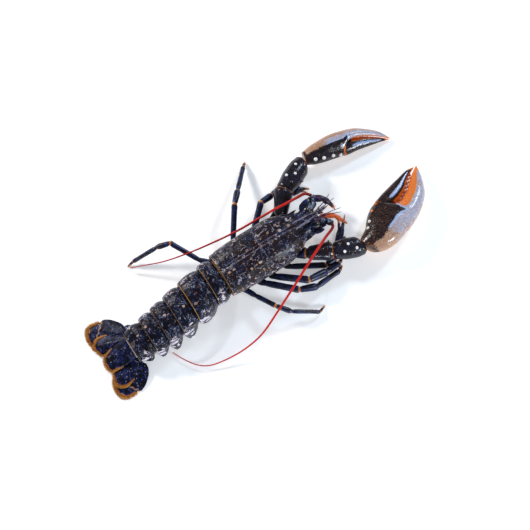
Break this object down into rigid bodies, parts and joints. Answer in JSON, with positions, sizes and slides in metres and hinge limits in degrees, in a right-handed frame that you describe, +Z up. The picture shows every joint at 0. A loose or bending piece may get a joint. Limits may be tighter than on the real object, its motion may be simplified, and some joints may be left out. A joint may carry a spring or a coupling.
{
  "type": "european lobster",
  "caption": "Life-size still model of a European lobster resting on its belly, claws forward, feelers swept back and tail fan spread.",
  "frame": {"origin": "on the floor, under the middle of the animal's whole outline from above", "axes": "+X towards the head and claws, +Y to the animal's left, +Z up from the floor"},
  "size_m": [0.4146, 0.1916, 0.0536],
  "materials": {
    "shell": "glossy blue-black shell with cream marbling",
    "claw": "glossy brown-black shell, pale along the outer edge, orange at the tips",
    "limb": "glossy dark blue shell with orange joints",
    "feeler": "satin red",
    "eye": "polished black",
    "fan": "satin navy blue plates with an orange fringe",
    "belly": "satin pale underside"
  },
  "bodies": {
    "root": {"abdomen_1": "shell", "abdomen_2": "shell", "abdomen_3": "shell", "abdomen_4": "shell", "abdomen_5": "shell", "abdomen_6": "shell", "antenna_root_left": "feeler", "antenna_root_right": "feeler", "antenna_stem_left": "limb", "antenna_stem_right": "limb", "antenna_tip_left": "feeler", "antenna_tip_right": "feeler", "antennule_left": "feeler", "antennule_right": "feeler", "carapace": "shell", "claw_arm_left": "claw", "claw_arm_right": "claw", "claw_finger_left": "claw", "claw_finger_right": "claw", "claw_hip_left": "limb", "claw_hip_right": "limb", "claw_palm_left": "claw", "claw_palm_right": "claw", "claw_wrist_left": "claw", "claw_wrist_right": "claw", "eye_left": "eye", "eye_right": "eye", "eye_stalk_left": "limb", "eye_stalk_right": "limb", "fan_endopod_left": "fan", "fan_endopod_right": "fan", "fan_exopod_left": "fan", "fan_exopod_right": "fan", "fan_stub_left": "shell", "fan_stub_right": "shell", "head": "shell", "leg_2_left_lower": "limb", "leg_2_left_upper": "limb", "leg_2_right_lower": "limb", "leg_2_right_upper": "limb", "leg_3_left_lower": "limb", "leg_3_left_upper": "limb", "leg_3_right_lower": "limb", "leg_3_right_upper": "limb", "leg_4_left_lower": "limb", "leg_4_left_upper": "limb", "leg_4_right_lower": "limb", "leg_4_right_upper": "limb", "leg_5_left_lower": "limb", "leg_5_left_upper": "limb", "leg_5_right_lower": "limb", "leg_5_right_upper": "limb", "maxilliped_left": "limb", "maxilliped_right": "limb", "sternum": "belly", "telson": "fan"}
  },
  "joints": []
}
